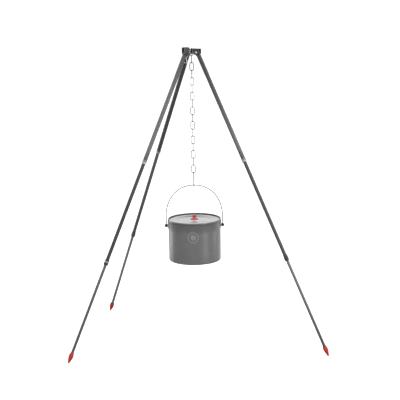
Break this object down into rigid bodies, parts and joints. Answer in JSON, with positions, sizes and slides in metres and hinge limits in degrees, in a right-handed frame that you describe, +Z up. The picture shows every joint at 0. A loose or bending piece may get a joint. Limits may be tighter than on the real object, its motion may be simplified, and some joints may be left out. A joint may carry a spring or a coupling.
{
  "type": "campfire cooking tripod",
  "caption": "Free-standing tripod with telescopic legs and pointed feet; a chain and wire hook hang a lidded cooking pot by its bail over a fire.",
  "frame": {"origin": "on the ground, at the middle of the part's plan", "axes": "+Z up; the front is -Y; the bail's pivots lie along X"},
  "size_m": [1.1294, 0.797, 1.3248],
  "materials": {
    "leg_paint": "dark grey powder coat",
    "head_paint": "black powder coat",
    "bright_steel": "bright plated steel",
    "collar_plastic": "black moulded plastic",
    "foot_rubber": "red moulded rubber",
    "pot_enamel": "dark grey hard-anodised aluminium",
    "lid_aluminium": "satin aluminium",
    "knob_plastic": "red moulded plastic",
    "stop_plastic": "black heat-resistant plastic"
  },
  "bodies": {
    "head": {"hub": "head_paint", "bracket_left": "head_paint", "bracket_rear": "head_paint", "bracket_right": "head_paint", "pivot_pin_left": "head_paint", "pivot_pin_rear": "head_paint", "pivot_pin_right": "bright_steel"},
    "leg_left_upper": {"leg_left_top_plug": "collar_plastic", "leg_left_upper_tube": "leg_paint", "leg_left_ferrule": "bright_steel"},
    "leg_left_middle": {"leg_left_middle_tube": "leg_paint", "leg_left_collar": "collar_plastic", "leg_left_upper_spring": "bright_steel"},
    "leg_left_lower": {"leg_left_lower_tube": "leg_paint", "leg_left_foot": "foot_rubber", "leg_left_lower_spring": "bright_steel"},
    "leg_left_upper_button": {"leg_left_upper_button": "bright_steel"},
    "leg_left_lower_button": {"leg_left_lower_button": "bright_steel"},
    "leg_rear_upper": {"leg_rear_top_plug": "collar_plastic", "leg_rear_upper_tube": "leg_paint", "leg_rear_ferrule": "bright_steel"},
    "leg_rear_middle": {"leg_rear_middle_tube": "leg_paint", "leg_rear_collar": "collar_plastic", "leg_rear_upper_spring": "bright_steel"},
    "leg_rear_lower": {"leg_rear_lower_tube": "leg_paint", "leg_rear_foot": "foot_rubber", "leg_rear_lower_spring": "bright_steel"},
    "leg_rear_upper_button": {"leg_rear_upper_button": "bright_steel"},
    "leg_rear_lower_button": {"leg_rear_lower_button": "bright_steel"},
    "leg_right_upper": {"leg_right_top_plug": "collar_plastic", "leg_right_upper_tube": "leg_paint", "leg_right_ferrule": "bright_steel"},
    "leg_right_middle": {"leg_right_middle_tube": "leg_paint", "leg_right_collar": "collar_plastic", "leg_right_upper_spring": "bright_steel"},
    "leg_right_lower": {"leg_right_lower_tube": "leg_paint", "leg_right_foot": "foot_rubber", "leg_right_lower_spring": "bright_steel"},
    "leg_right_upper_button": {"leg_right_upper_button": "bright_steel"},
    "leg_right_lower_button": {"leg_right_lower_button": "bright_steel"},
    "ring": {"hanging_ring": "bright_steel"},
    "chain_1": {"chain_links_1": "bright_steel"},
    "chain_2": {"chain_links_2": "bright_steel"},
    "chain_3": {"chain_links_3": "bright_steel"},
    "chain_4": {"chain_links_4": "bright_steel"},
    "chain_5": {"chain_links_5": "bright_steel"},
    "chain_6": {"chain_links_6": "bright_steel"},
    "chain_7": {"chain_links_7": "bright_steel"},
    "chain_8": {"chain_links_8": "bright_steel"},
    "pot_hook": {"pot_hook": "bright_steel"},
    "bail": {"bail": "bright_steel", "bail_stop_left": "stop_plastic", "bail_stop_right": "stop_plastic"},
    "pot": {"pot": "pot_enamel", "ear_left": "lid_aluminium", "ear_right": "lid_aluminium"},
    "lid": {"lid": "lid_aluminium", "lid_knob": "knob_plastic", "lid_screw": "bright_steel"},
    "take_up_hook": {"take_up_hook": "bright_steel"}
  },
  "joints": [
    {"name": "leg_left_spread", "type": "hinge", "parent": "head", "child": "leg_left_upper", "pos_m": [-0.03555, -0.0908, 1.302], "axis": [-0.5, 0.866, 0], "range_deg": [-16, 0]},
    {"name": "leg_left_middle_slide", "type": "slide", "parent": "leg_left_upper", "child": "leg_left_middle", "axis": [-0.3669, -0.2118, -0.9058], "range_m": [-0.41, 0]},
    {"name": "leg_left_lower_slide", "type": "slide", "parent": "leg_left_middle", "child": "leg_left_lower", "axis": [-0.3669, -0.2118, -0.9058], "range_m": [-0.4, 0]},
    {"name": "leg_left_upper_button_press", "type": "slide", "parent": "leg_left_middle", "child": "leg_left_upper_button", "axis": [0.5, -0.866, 0], "range_m": [-0.0025, 0], "stiffness_N_per_m": 600, "springref_m": 0.002},
    {"name": "leg_left_lower_button_press", "type": "slide", "parent": "leg_left_lower", "child": "leg_left_lower_button", "axis": [0.5, -0.866, 0], "range_m": [-0.002, 0], "stiffness_N_per_m": 600, "springref_m": 0.002},
    {"name": "leg_rear_spread", "type": "hinge", "parent": "head", "child": "leg_rear_upper", "pos_m": [-0.02299, -0.04832, 1.302], "axis": [0.729, 0.6845, 0], "range_deg": [-16, 0]},
    {"name": "leg_rear_middle_slide", "type": "slide", "parent": "leg_rear_upper", "child": "leg_rear_middle", "axis": [-0.29, 0.3089, -0.9058], "range_m": [-0.41, 0]},
    {"name": "leg_rear_lower_slide", "type": "slide", "parent": "leg_rear_middle", "child": "leg_rear_lower", "axis": [-0.29, 0.3089, -0.9058], "range_m": [-0.4, 0]},
    {"name": "leg_rear_upper_button_press", "type": "slide", "parent": "leg_rear_middle", "child": "leg_rear_upper_button", "axis": [-0.729, -0.6845, 0], "range_m": [-0.0025, 0], "stiffness_N_per_m": 600, "springref_m": 0.002},
    {"name": "leg_rear_lower_button_press", "type": "slide", "parent": "leg_rear_lower", "child": "leg_rear_lower_button", "axis": [-0.729, -0.6845, 0], "range_m": [-0.002, 0], "stiffness_N_per_m": 600, "springref_m": 0.002},
    {"name": "leg_right_spread", "type": "hinge", "parent": "head", "child": "leg_right_upper", "pos_m": [0.01563, -0.08902, 1.302], "axis": [-0.4384, -0.8988, 0], "range_deg": [-16, 0]},
    {"name": "leg_right_middle_slide", "type": "slide", "parent": "leg_right_upper", "child": "leg_right_middle", "axis": [0.3808, -0.1857, -0.9058], "range_m": [-0.41, 0]},
    {"name": "leg_right_lower_slide", "type": "slide", "parent": "leg_right_middle", "child": "leg_right_lower", "axis": [0.3808, -0.1857, -0.9058], "range_m": [-0.4, 0]},
    {"name": "leg_right_upper_button_press", "type": "slide", "parent": "leg_right_middle", "child": "leg_right_upper_button", "axis": [-0.4384, -0.8988, 0], "range_m": [-0.0025, 0], "stiffness_N_per_m": 600, "springref_m": 0.002},
    {"name": "leg_right_lower_button_press", "type": "slide", "parent": "leg_right_lower", "child": "leg_right_lower_button", "axis": [-0.4384, -0.8988, 0], "range_m": [-0.002, 0], "stiffness_N_per_m": 600, "springref_m": 0.002},
    {"name": "ring_swing", "type": "hinge", "parent": "head", "child": "ring", "pos_m": [-0.01043, -0.0763, 1.3155], "axis": [1, 0, 0], "range_deg": [-17, 20]},
    {"name": "chain_1_swing", "type": "hinge", "parent": "ring", "child": "chain_1", "pos_m": [-0.01043, -0.0763, 1.2906], "axis": [0, 1, 0], "range_deg": [-12, 12]},
    {"name": "chain_2_swing", "type": "hinge", "parent": "chain_1", "child": "chain_2", "pos_m": [-0.01043, -0.0763, 1.2224], "axis": [-1, 0, 0], "range_deg": [-18, 18]},
    {"name": "chain_3_swing", "type": "hinge", "parent": "chain_2", "child": "chain_3", "pos_m": [-0.01043, -0.0763, 1.1612], "axis": [0, -1, 0], "range_deg": [-18, 18]},
    {"name": "chain_4_swing", "type": "hinge", "parent": "chain_3", "child": "chain_4", "pos_m": [-0.01043, -0.0763, 1.093], "axis": [1, 0, 0], "range_deg": [-18, 18]},
    {"name": "chain_5_swing", "type": "hinge", "parent": "chain_4", "child": "chain_5", "pos_m": [-0.01043, -0.0763, 1.0318], "axis": [0, 1, 0], "range_deg": [-18, 18]},
    {"name": "chain_6_swing", "type": "hinge", "parent": "chain_5", "child": "chain_6", "pos_m": [-0.01043, -0.0763, 0.9636], "axis": [-1, 0, 0], "range_deg": [-18, 18]},
    {"name": "chain_7_swing", "type": "hinge", "parent": "chain_6", "child": "chain_7", "pos_m": [-0.01043, -0.0763, 0.9024], "axis": [0, -1, 0], "range_deg": [-18, 18]},
    {"name": "chain_8_swing", "type": "hinge", "parent": "chain_7", "child": "chain_8", "pos_m": [-0.01043, -0.0763, 0.8342], "axis": [1, 0, 0], "range_deg": [-18, 18]},
    {"name": "pot_hook_swing", "type": "hinge", "parent": "chain_8", "child": "pot_hook", "pos_m": [-0.01043, -0.0763, 0.7732], "axis": [0, 1, 0], "range_deg": [-15, 15]},
    {"name": "bail_roll", "type": "hinge", "parent": "pot_hook", "child": "bail", "pos_m": [-0.01043, -0.0763, 0.7135], "axis": [-1, 0, 0], "range_deg": [-40, 40]},
    {"name": "pot_tip", "type": "hinge", "parent": "bail", "child": "pot", "pos_m": [-0.01043, -0.0763, 0.531], "axis": [1, 0, 0], "range_deg": [-90, 90]},
    {"name": "lid_lift", "type": "slide", "parent": "pot", "child": "lid", "axis": [0, 0, 1], "range_m": [0, 0.055]},
    {"name": "take_up_hook_swing", "type": "hinge", "parent": "head", "child": "take_up_hook", "pos_m": [-0.02493, -0.0763, 1.2885], "axis": [0, 1, 0], "range_deg": [-15, 25]}
  ]
}
